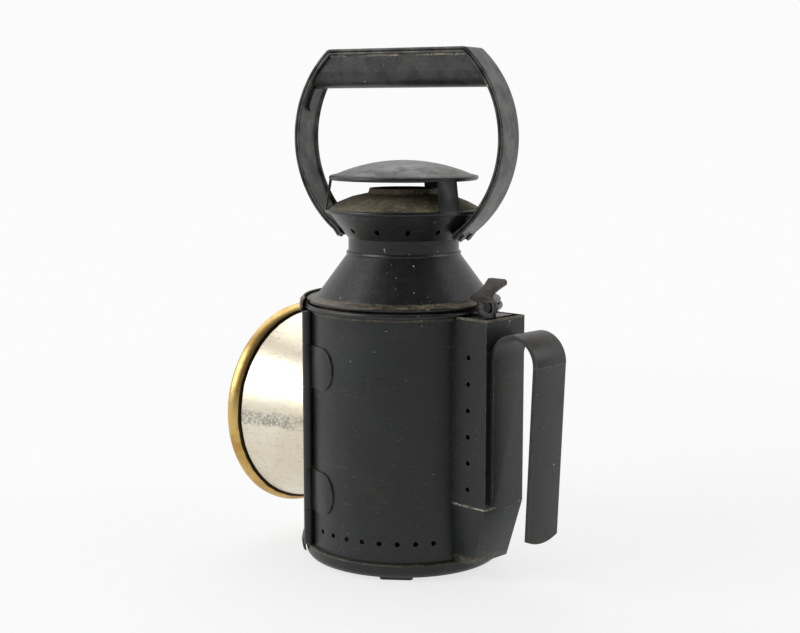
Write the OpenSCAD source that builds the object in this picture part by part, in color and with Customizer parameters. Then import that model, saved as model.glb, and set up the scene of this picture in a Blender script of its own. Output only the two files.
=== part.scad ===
// Railway hand lamp: turning top with handle, hinged lens door, rear box and belt hook.
// Millimetres, +Z up. Origin on the case axis, in the plane the feet stand on.
// The lens faces -Y and the hook hangs at +Y.

/* [Case] */
// outside radius of the sheet case
case_r = 56; // [40:0.5:80]
// height of the case's top edge above the feet
case_top = 150.6; // [146:0.2:200]
// sheet thickness of the case, door and top
sheet = 0.8; // [0.6:0.1:1.2]
// radius of the small vent holes
vent_r = 1.5; // [1:0.1:2.5]
// angle between neighbouring vent holes low on the case
vent_pitch = 10.7; // [9:0.1:14]
// vent holes on each side of the case
vent_count = 8; // [4:1:10]
// height of the vent row
vent_z = 21; // [16:0.5:30]

/* [Base] */
// how far the base ring stands out from the case
ring_out = 2.5; // [1.5:0.1:5]
// height of the base ring's top edge
ring_top = 9.4; // [6:0.2:14]
// length of each foot pressed out of the pan
foot_len = 19; // [10:1:30]
// distance of the feet inwards from the case's outside
foot_in = 3.5; // [2.5:0.5:16]
// angle of the first foot
foot_turn = 39; // [0:1:119]

/* [Turning top] */
// distance of the cone's foot inwards from the case's outside
cone_in = 4.8; // [4.5:0.1:10]
// rise of the shoulder cone
cone_rise = 24.4; // [14:0.2:40]
// outside radius of the neck
neck_r = 32.5; // [24:0.5:40]
// height of the neck between the cone and the flare
neck_rise = 9.5; // [6:0.5:20]
// rise of the flare up to the middle of the collar's rolled rim
flare_rise = 16.1; // [12:0.1:26]
// outside radius of the collar's rolled rim
rim_r = 46.1; // [43:0.1:60]
// radius of the chimney mouth
pot_r = 20; // [12:0.5:22]
// rise of the chimney mouth above the collar's rim
pot_rise = 12.8; // [12:0.2:16]
// outside radius of the cap
cap_r = 43.7; // [36:0.1:50]
// rise of the cap's rolled edge above the collar's rim
cap_lift = 19; // [16:0.2:26]
// rise of the cap's dome above its edge
cap_rise = 9; // [4:0.5:20]
// turn of the handle from the X axis as the lamp stands
top_turn = 105.7; // [90:0.1:180]

/* [Handle] */
// outside radius of the handle loop
loop_r = 68; // [55:0.5:90]
// height of the flat top of the handle above the loop's centre
loop_rise = 51.5; // [44:0.5:58]
// width of the handle strap
strap_w = 23; // [14:0.5:30]
// thickness of the handle strap
strap_t = 1.6; // [1:0.1:3]
// depth of the hand grip below the strap's rolled edges
grip_drop = 19; // [14:0.5:30]

/* [Lens door] */
// height of the lens axis
lens_z = 80.6; // [76:0.2:90]
// outside radius of the hood where the brass rim starts
hood_r = 59.6; // [50:0.1:62]
// how far the brass rim stands out from the hood
brass_out = 4; // [3:0.1:6]
// distance of the brass rim's widest line in front of the case's outside
brass_reach = 30.3; // [24:0.1:50]
// growth of the hood's radius per millimetre of reach
hood_flare = 0.236; // [0.05:0.002:0.4]
// angle of the hinge line, from the X axis
hinge_turn = -29.5; // [-45:0.5:-15]
// outside radius of the hinge knuckles
knuckle_r = 3; // [2:0.1:5]
// radius of the hinge pin
pin_r = 1.2; // [0.8:0.1:2]
// bulge of the lens in front of its seat
lens_bulge = 13; // [6:0.5:20]

/* [Rear box] */
// half width of the rear box
box_half = 16.5; // [10:0.5:24]
// depth of the rear box behind the case's outside
box_deep = 22; // [20:0.5:35]
// height of the bottom of the rear box's straight part
box_low = 43; // [30:0.5:70]
// half width of the chute below the box, at its foot
chute_half = 15; // [8:0.5:20]
// reach of the chute's foot behind the case's outside
chute_out = 12.2; // [3:0.1:18]

/* [Belt hook] */
// width of the hook strap
hook_w = 26; // [16:0.5:32]
// thickness of the hook strap
hook_t = 2.6; // [1.5:0.1:4]
// outside radius of the hook's bend
hook_r = 16.1; // [10:0.1:22]
// drop of the bend's centre below the case's top edge
hook_drop = 22.9; // [18:0.1:40]
// height of the free leg's end
hook_low = 27.4; // [20:0.2:60]
// inward lean of the free leg, in degrees
hook_lean = 2.5; // [0:0.1:6]

/* [Catch lever] */
// height of the lever's pivot above the case's top edge
catch_lift = 4.9; // [4:0.1:8]
// distance of the lever's pivot behind the case's outside
catch_out = 11.8; // [10:0.1:15]
// thickness of the lever
lever_w = 3; // [2.4:0.2:8]

/* [Lamp inside] */
// radius of the oil font
font_r = 31; // [24:0.5:34]
// height of the font's shoulder
font_top = 34; // [24:0.5:40]
// height of the wick's top edge
wick_top = 74; // [70:0.5:90]
// width of the flat wick
wick_w = 10.4; // [6:0.2:12]
// radius of the reflector
mirror_r = 24; // [16:0.5:30]
// distance of the colour drum inwards from the case's outside
drum_in = 10.9; // [8:0.1:16]
// half angle of each drum window
window_half = 42; // [30:1:50]

/* [Hidden] */
$fn = 96;
case_in = case_r - sheet;
ring_r = case_r + ring_out;
foot_reach = case_r - foot_in;
// the bead rolled round the top of the case
bead_wire = 1.6;
bead_mid = ring_r - bead_wire;
bead_z = case_top + 0.4;
// the turning top, from the case's top edge upwards
cone_r = case_r - cone_in;
cone_z = case_top + 6;
neck_z = cone_z + cone_rise;
flare_z = neck_z + neck_rise;
rim_z = flare_z + flare_rise;
pot_top = rim_z + pot_rise;
cap_z = rim_z + cap_lift;
drum_r = case_r - drum_in;
// the ledge that carries the turning top
ledge_r = cone_r + 0.8;
ledge_top = case_top + sheet;
// the turning flange just above the ledge
flange_r = case_r + 1.3;
flange_low = ledge_top + 2;
flange_wire = 1.1;
// the neck tube of the drum, inside the ledge
drum_neck = cone_r - 1;
// the collar's rolled rim and the cap's rolled edge
rim_wire = 1.3;
rim_mid = rim_r - rim_wire;
cap_mid = cap_r - rim_wire;
// the opening behind the door
hinge_r = ring_r;
hinge_x = hinge_r * cos(hinge_turn);
hinge_y = hinge_r * sin(hinge_turn);
wall_start = hinge_turn + 2;
wall_end = 210;
open_low = ring_top + 4.6;
open_high = case_top - 4;
// the door sheet runs just outside the case wall
door_in = case_r + 0.5;
door_out = door_in + sheet;
door_end = -153;
pin_gap = 0.06;
split = 0.4;
leaf_gap = 73.3;
leaf_h = 25;
leaf_low = lens_z - leaf_gap / 2 - leaf_h / 2;
// hood and lens distances along the lens axis
brass_y = case_r + brass_reach;
brass_r = hood_r + brass_out;
hood_start = case_r / 2;
hood_end = brass_y - 2.3;
seat_y = brass_y + 1.3;
glass_edge = 4;
lens_r = hood_r - 0.6;
lens_face = lens_r - 3.4;
// the strap's lower ends lie along the collar's flare
flare_run = rim_mid - neck_r;
flare_turn = atan(flare_run / flare_rise);
wire_r = 1.7;
// step between joined faces of one sheet, so that they don't lie in one plane
step = 0.05;
strap_low = flare_z - 1;
strap_gap = 5.06;
join_rise = 3.9;
// the loop's arc stops here and a short straight end runs down along the flare
join_x = neck_r + join_rise * tan(flare_turn) + strap_gap / cos(flare_turn);
join_z = flare_z + join_rise;
join_turn = -acos(join_x / loop_r);
loop_z = join_z + sqrt(loop_r * loop_r - join_x * join_x);
loop_top = loop_z + loop_rise;
tail = (join_z - strap_low) / cos(flare_turn);
// the rear box, its chute and its hook
box_y = case_r + box_deep;
chute_y = case_r + chute_out;
hook_z = case_top - hook_drop;
// the catch
catch_z = case_top + catch_lift;
catch_y = case_r + catch_out;
flange_notch = 1;
nose_y = flange_r + 0.5;
cheek_t = 1.6;
cheek_gap = 0.25;
pivot_r = 1.5;
bridge_top = case_top - 0.4;
spring_t = 0.5;
spring_rise = 1.8;
// burner sizes
wick_t = 1.8;
wick_gap = 0.3;
tube_t = 0.7;
burner_r = 11;
spindle_z = font_top + 13;
wheel_r = 2.5;
spindle_r = 1;
spindle_y = wick_t / 2 + wick_gap + wheel_r;
font_low = 8;
pan_floor = 3.6;
// the filler stands between the burner and the font's edge
filler_turn = 211;
filler_reach = (burner_r + font_r) / 2 + 2.4;
filler_at = [filler_reach * cos(filler_turn), filler_reach * sin(filler_turn)];
mirror_y = font_r - 1;
// the turn button that locks the door
button_turn = -159;
button_in = door_out + 1.1;
button_t = 1.5;

function hood_at(y) = hood_r + (y - (brass_y - 5.7)) * hood_flare;
// radius of the dome under the cap, from the chimney mouth (0) to the collar's rim (1)
function dome_r(share) = pot_r + (rim_mid - pot_r) * share;
// height of the font's sloping top at a distance from the axis
function font_slope(r) = font_top + 5 - (r - 14) * 2.6 / (font_r - 17);

// a wall swept round the axis between two angles
module swept(from, to) {
    rotate([0, 0, from])
        rotate_extrude(angle = to - from)
            children();
}

// one sector of space, for cutting windows in round walls
module sector(from, to, low, high, reach) {
    translate([0, 0, low])
        rotate([0, 0, from])
            rotate_extrude(angle = to - from)
                square([reach, high - low]);
}

// local Z runs out along the lens axis
module along_lens() {
    translate([0, 0, lens_z])
        rotate([90, 0, 0])
            children();
}

// local X lies in the handle's plane
module with_top() {
    rotate([0, 0, top_turn])
        children();
}

// a hole or rod through the wall, pointing out at the given angle
module radial(turn, z, r, from, to) {
    rotate([0, 0, turn])
        translate([from, 0, z])
            rotate([0, 90, 0])
                cylinder(h = to - from, r = r);
}

// ---- case ----

module case_wall() {
    color([0.12, 0.125, 0.13])
    difference() {
        translate([0, 0, pan_floor])
            cylinder(h = case_top - pan_floor, r = case_r);
        translate([0, 0, pan_floor - 1])
            cylinder(h = case_top, r = case_in);
        sector(wall_end, 360 + wall_start, open_low, open_high, case_r + 5);
        // beside the knuckles the cut runs the whole height of the hinge
        sector(hinge_turn - 6, wall_start, ring_top, case_top - 1.2, case_r + 5);
        for (i = [0 : vent_count - 1]) {
            radial(-13.7 + i * vent_pitch, vent_z, vent_r, 40, case_r + 2);
            radial(193.7 - i * vent_pitch, vent_z, vent_r, 40, case_r + 2);
        }
        // draught holes from the rear box into the case
        for (z = [lens_z - 20, lens_z, lens_z + 20])
            radial(90, z, 4, 40, case_r + 2);
        radial(button_turn, lens_z, pivot_r, 40, case_r + 2);
    }
}

module base_pan() {
    color([0.12, 0.125, 0.13])
    rotate_extrude()
        polygon([[0, 1.5], [30, 1.5], [31.4, 2.8], [ring_r - 3, 2.8], [ring_r - 2.3, 2],
                 [ring_r - 1.5, 2], [ring_r - 0.3, 3.6], [ring_r, 5], [ring_r, ring_top - 0.5],
                 [ring_r - 0.5, ring_top], [case_r, ring_top], [case_r, pan_floor],
                 [31, pan_floor], [29.6, 2.3], [0, 2.3]]);
}

module one_foot() {
    half = foot_len / 2 - 2.4;
    for (side = [-1, 1])
        translate([foot_reach, side * half, 0])
            cylinder(h = 2.8, r = 2.4);
    translate([foot_reach - 2.4, -half, 0])
        cube([4.8, 2 * half, 2.8]);
}

module feet() {
    color([0.12, 0.125, 0.13])
    for (turn = [0, 120, 240])
        rotate([0, 0, foot_turn + turn])
            one_foot();
}

module top_ring() {
    color([0.12, 0.125, 0.13])
    rotate_extrude()
        difference() {
            union() {
                translate([bead_mid, bead_z])
                    circle(r = bead_wire);
                translate([ledge_r, case_top])
                    square([bead_mid - ledge_r, sheet]);
            }
            // the case wall's top edge stands inside the bead
            translate([case_r - 5, case_top - 5])
                square([5, 5]);
        }
}

module leaf(low) {
    // a hair shorter than its knuckle, and rounded where it ends on the wall
    half = leaf_h / 2 - 0.2;
    intersection() {
        swept(hinge_turn + 1.5, 8)
            translate([case_r, low - 1])
                square([0.9, leaf_h + 2]);
        rotate([0, 0, hinge_turn + 14])
            translate([30, 0, low + leaf_h / 2])
                rotate([90, 0, 90])
                    linear_extrude(40)
                        polygon([[-20, -half], [4, -half], [8, 1.6 - half], [10.8, 4.6 - half],
                                 [12.6, -3], [12.6, 3], [10.8, half - 4.6], [8, half - 1.6],
                                 [4, half], [-20, half]]);
    }
}

module knuckle(low, high) {
    translate([hinge_x, hinge_y, low])
        cylinder(h = high - low, r = knuckle_r);
}

module pin_bore(r) {
    translate([hinge_x, hinge_y, 0])
        cylinder(h = case_top + 10, r = r);
}

module hinge_leaves() {
    color([0.13, 0.13, 0.13])
    for (low = [leaf_low, leaf_low + leaf_gap])
        difference() {
            union() {
                leaf(low);
                knuckle(low, low + leaf_h);
            }
            pin_bore(pin_r + pin_gap);
        }
}

module hinge_pin() {
    color([0.35, 0.34, 0.32])
    translate([hinge_x, hinge_y, ring_top + 0.2])
        cylinder(h = case_top - 1.6 - ring_top, r = pin_r);
}

module box_block(half, back, low, high) {
    translate([-half, case_r - 6, low])
        cube([2 * half, back - case_r + 6, high - low]);
}

module rear_box() {
    color([0.12, 0.125, 0.13])
    difference() {
        box_block(box_half, box_y, box_low, case_top - 0.1);
        box_block(box_half - sheet, box_y - sheet, box_low - 1, case_top + 1);
        cylinder(h = 400, r = case_r);
        // room for the rolled bead at the mouth
        translate([0, 0, case_top - 1.6])
            cylinder(h = 10, r = ring_r + 0.1);
        for (i = [0 : 5])
            translate([-30, case_r + 9, lens_z - 27.2 + i * 15])
                rotate([0, 90, 0])
                    cylinder(h = 60, r = vent_r);
    }
}

module chute_solid(inset) {
    foot = ring_top;
    intersection() {
        translate([-40, 0, 0])
            rotate([90, 0, 90])
                linear_extrude(80)
                    polygon([[case_r - 6, foot - inset], [chute_y - inset, foot - inset],
                             [box_y - inset, box_low + inset], [case_r - 6, box_low + inset]]);
        translate([0, 100, 0])
            rotate([90, 0, 0])
                linear_extrude(100)
                    polygon([[-chute_half + inset, foot - inset], [chute_half - inset, foot - inset],
                             [box_half - inset, box_low + inset],
                             [-box_half + inset, box_low + inset]]);
    }
}

module chute() {
    color([0.12, 0.125, 0.13])
    difference() {
        chute_solid(0);
        chute_solid(sheet);
        cylinder(h = 400, r = case_r);
    }
}

// rounds the end of a hook leg in the plane of the strap
module leg_end(low) {
    translate([0, 0, low + 30])
        rotate([-90, 0, 0])
            translate([0, 0, 50])
                cylinder(h = 100, r = 30);
    translate([-40, 50, low + 30])
        cube([80, 100, 200]);
}

module belt_hook() {
    mid = box_y + hook_r;
    color([0.12, 0.12, 0.11])
    union() {
        intersection() {
            translate([step - hook_w / 2, box_y, 30])
                cube([hook_w - 2 * step, hook_t, hook_z - 29.8]);
            leg_end(box_low);
        }
        // the bend ends where the free leg starts to lean inwards
        translate([-hook_w / 2, mid, hook_z])
            rotate([90, 0, 90])
                rotate([0, 0, -hook_lean])
                    rotate_extrude(angle = 180 + hook_lean)
                        translate([hook_r - hook_t, 0])
                            square([hook_t, hook_w]);
        intersection() {
            translate([0, mid, hook_z])
                rotate([-hook_lean, 0, 0])
                    translate([step - hook_w / 2, hook_r - hook_t + step, hook_low - hook_z - 4])
                        cube([hook_w - 2 * step, hook_t - 2 * step, hook_z - hook_low + 4.4]);
            leg_end(hook_low);
        }
    }
}

// the bridge across the box mouth, with the one cheek that carries the lever's screw
module catch_bridge() {
    half = box_half - sheet;
    cheek_in = lever_w / 2 + cheek_gap;
    color([0.1, 0.1, 0.09])
    difference() {
        union() {
            translate([-half, ring_r + 1.1, bridge_top - 1.2])
                cube([2 * half, catch_y + 2 - ring_r, 1.2]);
            translate([cheek_in, catch_y - 7.4, bridge_top - 0.6])
                cube([cheek_t, 12, catch_z + 3.8 - bridge_top + 0.6]);
        }
        translate([-20, catch_y, catch_z])
            rotate([0, 90, 0])
                cylinder(h = 40, r = pivot_r);
    }
}

module catch_screw() {
    out = lever_w / 2 + cheek_gap + cheek_t;
    back = lever_w / 2 + cheek_gap;
    color([0.16, 0.15, 0.14])
    difference() {
        union() {
            translate([-back - 0.9, catch_y, catch_z])
                rotate([0, 90, 0])
                    cylinder(h = back + out + 1, r = pivot_r);
            translate([out, catch_y, catch_z])
                rotate([0, 90, 0])
                    cylinder(h = 1.2, r = 2.7);
            translate([-back - 1.2, catch_y, catch_z])
                rotate([0, 90, 0])
                    cylinder(h = 1.2, r = 2.3);
        }
        translate([out + 0.7, catch_y - 4, catch_z - 0.35])
            cube([2, 8, 0.7]);
    }
}

// a bent leaf of spring steel under the lever's heel
module catch_spring() {
    color([0.3, 0.29, 0.27])
    translate([-lever_w / 2 + 0.3, catch_y, bridge_top])
        rotate([90, 0, 90])
            linear_extrude(lever_w - 0.6)
                polygon([[-6, 0], [-1, 0], [3.8, spring_rise - spring_t], [3.8, spring_rise],
                         [3.2, spring_rise], [-1.2, spring_t], [-6, spring_t]]);
}

module button_pivot() {
    color([0.3, 0.29, 0.27])
    union() {
        radial(button_turn, lens_z, pivot_r, case_in - 0.6, button_in + button_t + 0.6);
        radial(button_turn, lens_z, 3, case_r + 0.3, button_in - 0.3);
        radial(button_turn, lens_z, 3, button_in + button_t + 0.3, button_in + button_t + 1.3);
        radial(button_turn, lens_z, 2.6, case_in - 1.6, case_in - 0.4);
    }
}

// ---- oil lamp inside ----

module font_seat() {
    color([0.4, 0.38, 0.34])
    rotate_extrude()
        polygon([[font_r - 4, pan_floor], [font_r + 1.2, pan_floor], [font_r + 1.2, 14],
                 [font_r, 14], [font_r, font_low], [font_r - 4, font_low]]);
}

module oil_font() {
    color([0.62, 0.58, 0.48])
    difference() {
        rotate_extrude()
            polygon([[0, font_low], [font_r, font_low], [font_r, font_top], [font_r - 3, font_top + 2.4],
                     [14, font_top + 5], [9, font_top + 5], [9, font_top + 4], [13.8, font_top + 4],
                     [font_r - 3.4, font_top + 1.5], [font_r - 1, font_top - 0.5],
                     [font_r - 1, font_low + 1], [0, font_low + 1]]);
        translate([filler_at.x, filler_at.y, font_top - 8])
            cylinder(h = 20, r = 5);
    }
    color([0.62, 0.58, 0.48])
    translate([filler_at.x, filler_at.y, font_top - 1])
        difference() {
            cylinder(h = 10, r = 5);
            translate([0, 0, -1])
                cylinder(h = 12, r = 4);
        }
}

module burner_body() {
    top = spindle_z + 6;
    color([0.72, 0.55, 0.25])
    difference() {
        union() {
            translate([0, 0, font_top + 5])
                cylinder(h = top - font_top - 5, r = burner_r);
            translate([0, 0, font_top + 5])
                cylinder(h = 1.6, r = burner_r + 2.5);
        }
        translate([0, 0, font_top + 4])
            cylinder(h = top - font_top - 5, r = burner_r - 1);
        translate([-wick_w / 2 - 1, -wick_t / 2 - 1, font_top])
            cube([wick_w + 2, wick_t + 2, 40]);
        translate([0, spindle_y, spindle_z])
            rotate([0, 90, 0])
                cylinder(h = 40, r = spindle_r + 0.05);
        for (turn = [0 : 45 : 315])
            radial(turn + 22.5, font_top + 9, 1.2, 5, 20);
    }
}

module wick_tube() {
    color([0.75, 0.6, 0.3])
    difference() {
        translate([-wick_w / 2 - 1, -wick_t / 2 - 1, font_top + 6])
            cube([wick_w + 2, wick_t + 2, wick_top - font_top - 10]);
        translate([-wick_w / 2 - wick_gap, -wick_t / 2 - wick_gap, font_top + 5])
            cube([wick_w + 2 * wick_gap, wick_t + 2 * wick_gap, wick_top]);
        translate([-2.6, 0, spindle_z - wheel_r - 0.6])
            cube([5.2, 10, 2 * wheel_r + 1.2]);
    }
}

module burner_dome() {
    low = spindle_z + 6;
    color([0.72, 0.55, 0.25])
    difference() {
        translate([0, 0, low])
            cylinder(h = wick_top - 4 - low, r1 = burner_r, r2 = 8.6);
        translate([0, 0, low - 0.1])
            cylinder(h = wick_top - 5 - low, r1 = burner_r - 0.8, r2 = 7.8);
        translate([-wick_w / 2 - 1, -wick_t / 2 - 1, low])
            cube([wick_w + 2, wick_t + 2, 40]);
        for (turn = [0 : 45 : 315])
            radial(turn, low + 5, 1.5, 5, 20);
    }
}

module reflector() {
    deep = 8;
    ball = (mirror_r * mirror_r + deep * deep) / (2 * deep);
    color([0.85, 0.85, 0.83])
    translate([0, mirror_y, lens_z])
        rotate([90, 0, 0])
            rotate_extrude()
                intersection() {
                    difference() {
                        translate([0, ball])
                            circle(r = ball);
                        translate([0, ball])
                            circle(r = ball - 0.7);
                    }
                    square([mirror_r, deep]);
                }
}

module reflector_bracket() {
    color([0.5, 0.5, 0.48])
    union() {
        translate([-4, 0, 0])
            rotate([90, 0, 90])
                linear_extrude(8)
                    polygon([[18, font_slope(18)], [font_r - 3, font_slope(font_r - 3)],
                             [mirror_y + 2.2, font_slope(font_r - 3)], [mirror_y + 2.2, lens_z + 8],
                             [mirror_y + 1.2, lens_z + 8], [mirror_y + 1.2, font_slope(font_r - 3) + 1],
                             [font_r - 3, font_slope(font_r - 3) + 1], [18, font_slope(18) + 1]]);
        translate([0, mirror_y, lens_z])
            rotate([-90, 0, 0])
                cylinder(h = 1.6, r = 2.2);
    }
}

module wick() {
    color([0.9, 0.88, 0.8])
    translate([-wick_w / 2, -wick_t / 2, font_low + 12])
        cube([wick_w, wick_t, wick_top - font_low - 12]);
}

module wick_winder() {
    color([0.7, 0.55, 0.28])
    translate([0, spindle_y, spindle_z])
        rotate([0, 90, 0])
            union() {
                translate([0, 0, -4])
                    cylinder(h = 27, r = spindle_r);
                translate([0, 0, -2])
                    cylinder(h = 4, r = wheel_r, $fn = 12);
                translate([0, 0, 19])
                    cylinder(h = 4, r = 6.5);
                translate([0, 0, 22.8])
                    cylinder(h = 1.6, r = 4);
            }
}

module filler_cap() {
    color([0.72, 0.55, 0.25])
    translate([filler_at.x, filler_at.y, 0])
        difference() {
            union() {
                translate([0, 0, font_top + 6])
                    cylinder(h = 4.6, r = 6.4);
                translate([0, 0, font_top + 10.4])
                    cylinder(h = 1.4, r = 4.6);
            }
            translate([0, 0, font_top + 5])
                cylinder(h = 4.4, r = 5.06);
        }
}

// ---- door ----

// the door's rolled lips reach round the base ring and the top bead
module door_lips() {
    lip_back = ring_r - door_in;
    swept(door_end, hinge_turn - 5.5) {
        translate([ring_r, ring_top])
            polygon([[-lip_back, 3.6], [0.6, 1.8], [1.8, -0.4], [1.3, -3.8], [0.6, -5], [1.1, -5.8],
                     [2.4, -4.2], [3.1, -0.6], [2.4, 2.8], [sheet - lip_back, 6.2], [-lip_back, 6.2]]);
        translate([ring_r, case_top])
            polygon([[-lip_back, -5.2], [sheet - lip_back, -5.2], [2.3, -2.6], [3.1, 0.9], [2.5, 4.2],
                     [0.4, 6.2], [0, 5.5], [1.5, 3.7], [1.9, 0.9], [1.2, -1.7], [-lip_back, -3.8]]);
    }
}

module door_panel() {
    low = ring_top + 4;
    high = case_top - 4.4;
    top = case_top - 1.6;
    leaf_2 = leaf_low + leaf_gap;
    color([0.12, 0.125, 0.13])
    difference() {
        union() {
            swept(door_end, hinge_turn - 1)
                translate([door_in, low])
                    square([sheet, high - low]);
            door_lips();
            knuckle(ring_top + 0.6, top);
        }
        // the case's own knuckles stand in these two gaps
        for (z = [leaf_low, leaf_2])
            sector(hinge_turn - 4, hinge_turn + 6, z - split, z + leaf_h + split, ring_r + 12);
        along_lens()
            cylinder(h = 100, r = hood_at(hood_start + 5) - 2.4);
        pin_bore(pin_r + pin_gap);
    }
}

module lens_hood() {
    color([0.82, 0.78, 0.7])
    difference() {
        along_lens()
            rotate_extrude()
                polygon([[hood_at(hood_start) - sheet, hood_start], [hood_at(hood_start), hood_start],
                         [hood_at(hood_end), hood_end], [hood_at(hood_end) - sheet, hood_end]]);
        cylinder(h = 400, r = door_out);
    }
}

module brass_rim() {
    lap = hood_end + 0.1;
    start = brass_y - 5.7;
    color([0.75, 0.55, 0.2])
    along_lens()
        rotate_extrude()
            polygon([[hood_at(start), start], [brass_r - 2, start + 1], [brass_r - 0.4, start + 3.3],
                     [brass_r, brass_y], [brass_r - 0.6, brass_y + 1.7], [brass_r - 2.1, brass_y + 2.5],
                     [lens_face + 0.4, brass_y + 2.5], [lens_face + 0.4, seat_y], [lens_r + 0.4, seat_y],
                     [lens_r + 0.4, lap], [hood_at(lap), lap]]);
}

module lens() {
    ball = (lens_face * lens_face + lens_bulge * lens_bulge) / (2 * lens_bulge);
    color([0.85, 0.92, 0.95, 0.5])
    along_lens()
        rotate_extrude()
            union() {
                translate([0, seat_y - glass_edge])
                    square([lens_r, glass_edge]);
                intersection() {
                    translate([0, seat_y + lens_bulge - ball])
                        circle(r = ball);
                    translate([0, seat_y - 1])
                        square([lens_face, lens_bulge + 2]);
                }
            }
}

module lens_ring() {
    color([0.6, 0.6, 0.58])
    along_lens()
        rotate_extrude()
            translate([lens_r - 1.2, seat_y - glass_edge - 0.8])
                circle(r = 0.8);
}

module door_pull() {
    color([0.3, 0.29, 0.27])
    union() {
        radial(door_end + 4, lens_z + 41.4, 1.4, door_out, door_out + 3);
        radial(door_end + 4, lens_z + 41.4, 3.2, door_out + 2.6, door_out + 5.6);
    }
}

module turn_button() {
    color([0.2, 0.2, 0.19])
    rotate([0, 0, button_turn])
        translate([button_in, 0, lens_z])
            rotate([0, 90, 0])
                difference() {
                    union() {
                        for (side = [-1, 1])
                            translate([side * 6, 0, 0])
                                cylinder(h = button_t, r = 3.4);
                        translate([-6, -3.4, 0])
                            cube([12, 6.8, button_t]);
                    }
                    translate([0, 0, -1])
                        cylinder(h = 5, r = pivot_r + 0.06);
                }
}

// ---- turning top ----

module shoulder_cone() {
    color([0.12, 0.125, 0.13])
    difference() {
        rotate_extrude()
            union() {
                polygon([[drum_neck, flange_low], [flange_r - flange_wire, flange_low],
                         [flange_r - 0.9, flange_low + 1.9], [cone_r, cone_z], [neck_r + sheet, neck_z],
                         [neck_r, neck_z], [drum_neck, cone_z + 0.2]]);
                translate([flange_r - flange_wire, flange_low + flange_wire])
                    circle(r = flange_wire);
            }
        // three detent notches for the catch's nose
        for (turn = [90, 210, 330])
            rotate([0, 0, turn])
                translate([flange_r - flange_notch, -lever_w / 2 - 0.6, flange_low - 1])
                    cube([5, lever_w + 1.2, 5]);
    }
}

module neck_band() {
    color([0.12, 0.125, 0.13])
    rotate_extrude()
        union() {
            translate([neck_r - sheet, neck_z])
                square([sheet, flare_z - neck_z]);
            polygon([[neck_r - 0.1, neck_z], [neck_r + 1, neck_z], [neck_r + 1.3, neck_z + 0.9],
                     [neck_r + 0.9, neck_z + 1.8], [neck_r - 0.1, neck_z + 2.2]]);
        }
}

module collar_holes() {
    for (half = [0, 180])
        for (i = [0 : 4])
            radial(half - 30.1 - i * 28.4, flare_z + 5.2, vent_r, 20, 60);
}

// rivet axes stand square to the strap's straight ends, from its outer face
module rivet_axes() {
    reach = tail * 0.5;
    for (half = [0, 180])
        for (side = [-1, 1])
            rotate([0, 0, half])
                translate([join_x - reach * sin(flare_turn), side * strap_w * 0.22,
                           join_z - reach * cos(flare_turn)])
                    rotate([0, 90 + flare_turn, 0])
                        children();
}

module collar() {
    color([0.12, 0.125, 0.13])
    with_top()
        difference() {
            rotate_extrude()
                union() {
                    polygon([[neck_r - sheet, flare_z], [neck_r, flare_z], [rim_mid, rim_z],
                             [rim_mid - 1, rim_z + 0.4]]);
                    translate([rim_mid, rim_z])
                        circle(r = rim_wire);
                }
            collar_holes();
            rivet_axes()
                translate([0, 0, -strap_gap - 6])
                    cylinder(h = 12, r = 1.3);
        }
}

module chimney() {
    low = rim_z + 0.6;
    color([0.2, 0.18, 0.14])
    difference() {
        rotate_extrude()
            polygon([[rim_mid - 0.2, low], [rim_mid - 0.6, low + 0.9], [dome_r(0.726), low + 4.2],
                     [dome_r(0.424), low + 7.2], [dome_r(0.182), low + 8.6], [pot_r + 1.2, low + 9.2],
                     [pot_r + 0.6, low + 10], [pot_r, pot_top], [pot_r - 0.8, pot_top],
                     [pot_r - 0.2, low + 9.6], [pot_r + 0.8, low + 8.4], [dome_r(0.178), low + 7.7],
                     [dome_r(0.412), low + 6.3], [dome_r(0.706), low + 3.4], [rim_mid - 2.4, low]]);
        rim_bead();
    }
}

module rim_bead() {
    rotate_extrude()
        translate([rim_mid, rim_z])
            circle(r = rim_wire);
}

module cap_bead() {
    rotate_extrude()
        translate([cap_mid, cap_z])
            circle(r = rim_wire);
}

module cap() {
    base = cap_z + 0.6;
    ball = (cap_mid * cap_mid + cap_rise * cap_rise) / (2 * cap_rise);
    color([0.13, 0.135, 0.14])
    rotate_extrude()
        union() {
            intersection() {
                difference() {
                    translate([0, base + cap_rise - ball])
                        circle(r = ball);
                    translate([0, base + cap_rise - ball])
                        circle(r = ball - sheet);
                }
                translate([0, base - 0.4])
                    square([cap_mid, cap_rise + 2]);
            }
            translate([cap_mid, cap_z])
                circle(r = rim_wire);
        }
}

module cap_straps() {
    half = 6.5;
    color([0.12, 0.125, 0.13])
    with_top()
        for (turn = [-27.7, -147.7, 92.3])
            rotate([0, 0, turn])
                difference() {
                    translate([0, half, 0])
                        rotate([90, 0, 0])
                            linear_extrude(2 * half)
                                polygon([[rim_mid + 0.1, rim_z + 0.3], [rim_mid + 1.3, rim_z + 0.3],
                                         [cap_mid + 0.8, cap_z - 0.8], [cap_mid - 0.4, cap_z - 0.8]]);
                    rim_bead();
                    cap_bead();
                }
}

// section across the handle strap: a thin band with a thick rolled edge along each side
module strap_section(r, slim) {
    half = strap_w / 2 - slim;
    inner = 2 * wire_r - slim;
    thick = 2 * wire_r;
    soft = 0.4 * wire_r;
    translate([r, 0])
        polygon([[-strap_t, thick - half], [-inner, thick - half - soft], [-inner, soft - half],
                 [soft - thick, -half], [-soft, -half], [-slim, soft - half], [-slim, half - soft],
                 [-soft, half], [soft - thick, half], [-inner, half - soft],
                 [-inner, half - thick + soft], [-strap_t, half - thick]]);
}

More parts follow.
